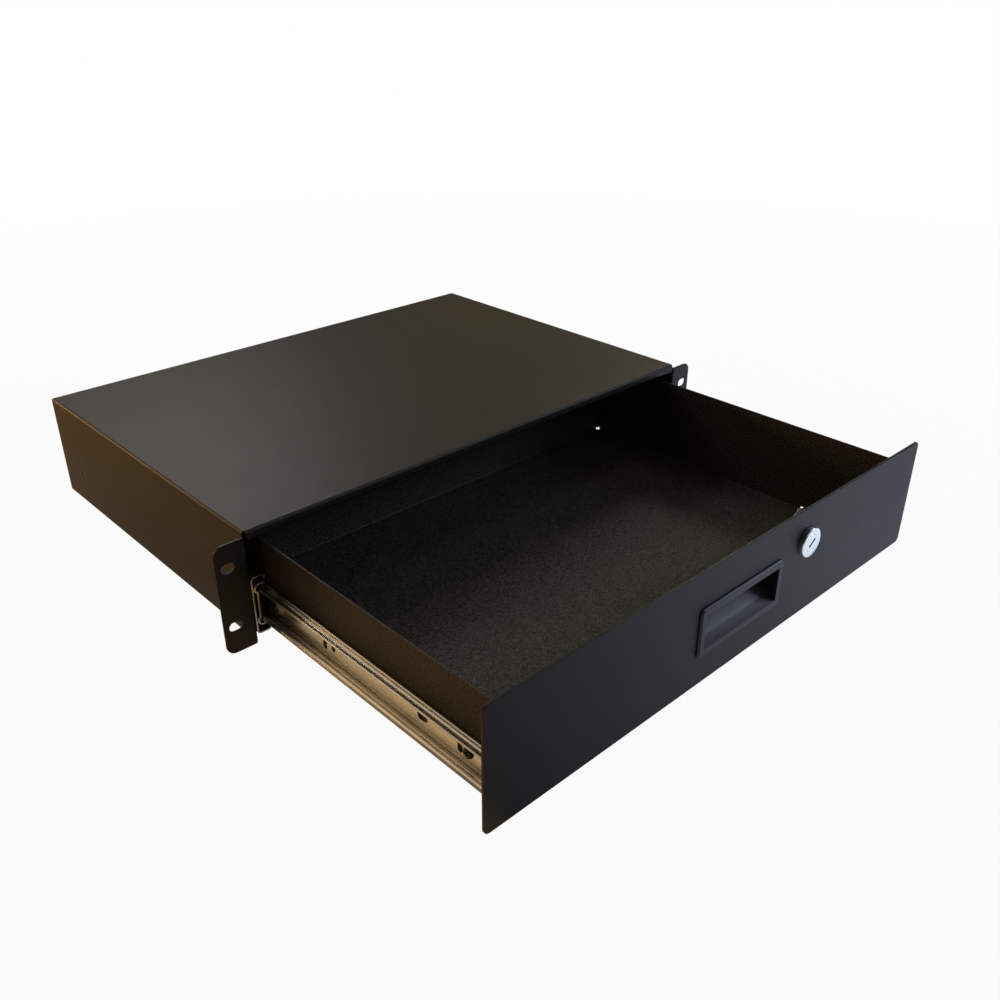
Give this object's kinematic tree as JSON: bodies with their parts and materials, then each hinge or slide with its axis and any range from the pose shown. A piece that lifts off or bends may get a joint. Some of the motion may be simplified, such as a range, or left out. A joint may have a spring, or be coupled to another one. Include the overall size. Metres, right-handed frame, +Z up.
{
  "type": "sliding rack drawer",
  "caption": "Low drawer on ball-bearing telescopic slides in a folded rack-mount casing with slotted ears, a recessed pull and a cam lock.",
  "frame": {"origin": "centre of the pattern of rack slots, in the front plane of the mounting ears", "axes": "+X to the right seen from the front, +Y to the rear, into the rack, +Z up; the drawer opens towards -Y"},
  "size_m": [0.4826, 0.5387, 0.0867],
  "materials": {
    "black_powder_coat": "satin, fine texture",
    "zinc_plate": "bright zinc plate",
    "bearing_steel": "polished",
    "chrome_plate": "polished",
    "brass_wafer": "stamped",
    "black_plastic": "satin moulded"
  },
  "bodies": {
    "casing": {"casing_shell": "black_powder_coat", "left_cabinet_member": "zinc_plate", "left_cabinet_screws": "zinc_plate", "left_rear_bumper": "black_plastic", "right_cabinet_member": "zinc_plate", "right_cabinet_screws": "zinc_plate", "right_rear_bumper": "black_plastic"},
    "left_intermediate": {"left_intermediate_member": "zinc_plate"},
    "right_intermediate": {"right_intermediate_member": "zinc_plate"},
    "left_outer_retainer": {"left_outer_cage": "zinc_plate", "left_outer_balls": "bearing_steel"},
    "right_outer_retainer": {"right_outer_cage": "zinc_plate", "right_outer_balls": "bearing_steel"},
    "left_inner_retainer": {"left_inner_cage": "zinc_plate", "left_inner_balls": "bearing_steel"},
    "right_inner_retainer": {"right_inner_cage": "zinc_plate", "right_inner_balls": "bearing_steel"},
    "drawer": {"drawer_tray": "black_powder_coat", "front_panel": "black_powder_coat", "panel_nuts": "zinc_plate", "pull_handle": "black_plastic", "lock_housing": "chrome_plate", "lock_nut": "chrome_plate", "left_drawer_member": "zinc_plate", "left_member_screws": "zinc_plate", "left_member_nuts": "zinc_plate", "right_drawer_member": "zinc_plate", "right_member_screws": "zinc_plate", "right_member_nuts": "zinc_plate"},
    "lock": {"lock_plug": "chrome_plate", "lock_wafers": "brass_wafer", "lock_cam": "zinc_plate", "cam_washer": "zinc_plate", "cam_screw": "zinc_plate"}
  },
  "joints": [
    {"name": "left_intermediate_slide", "type": "slide", "parent": "casing", "child": "left_intermediate", "axis": [0, -1, 0], "range_m": [0, 0.078]},
    {"name": "right_intermediate_slide", "type": "slide", "parent": "casing", "child": "right_intermediate", "axis": [0, -1, 0], "range_m": [0, 0.078]},
    {"name": "left_outer_retainer_slide", "type": "slide", "parent": "casing", "child": "left_outer_retainer", "axis": [0, -1, 0], "range_m": [0, 0.039]},
    {"name": "right_outer_retainer_slide", "type": "slide", "parent": "casing", "child": "right_outer_retainer", "axis": [0, -1, 0], "range_m": [0, 0.039]},
    {"name": "drawer_slide", "type": "slide", "parent": "left_intermediate", "child": "drawer", "axis": [0, -1, 0], "range_m": [-0.2262, 0]},
    {"name": "left_inner_retainer_slide", "type": "slide", "parent": "left_intermediate", "child": "left_inner_retainer", "axis": [0, -1, 0], "range_m": [-0.1131, 0]},
    {"name": "right_inner_retainer_slide", "type": "slide", "parent": "right_intermediate", "child": "right_inner_retainer", "axis": [0, -1, 0], "range_m": [-0.1131, 0]},
    {"name": "lock_turn", "type": "hinge", "parent": "drawer", "child": "lock", "pos_m": [0.0735, -0.2287, 0.0172], "axis": [0, 1, 0], "range_deg": [-55, 35]}
  ],
  "couplings": [
    {"joint": "right_intermediate_slide", "follows": "left_intermediate_slide", "ratio": 1},
    {"joint": "left_outer_retainer_slide", "follows": "left_intermediate_slide", "ratio": 0.5},
    {"joint": "right_outer_retainer_slide", "follows": "left_intermediate_slide", "ratio": 0.5},
    {"joint": "left_inner_retainer_slide", "follows": "drawer_slide", "ratio": 0.5},
    {"joint": "right_inner_retainer_slide", "follows": "drawer_slide", "ratio": 0.5}
  ]
}
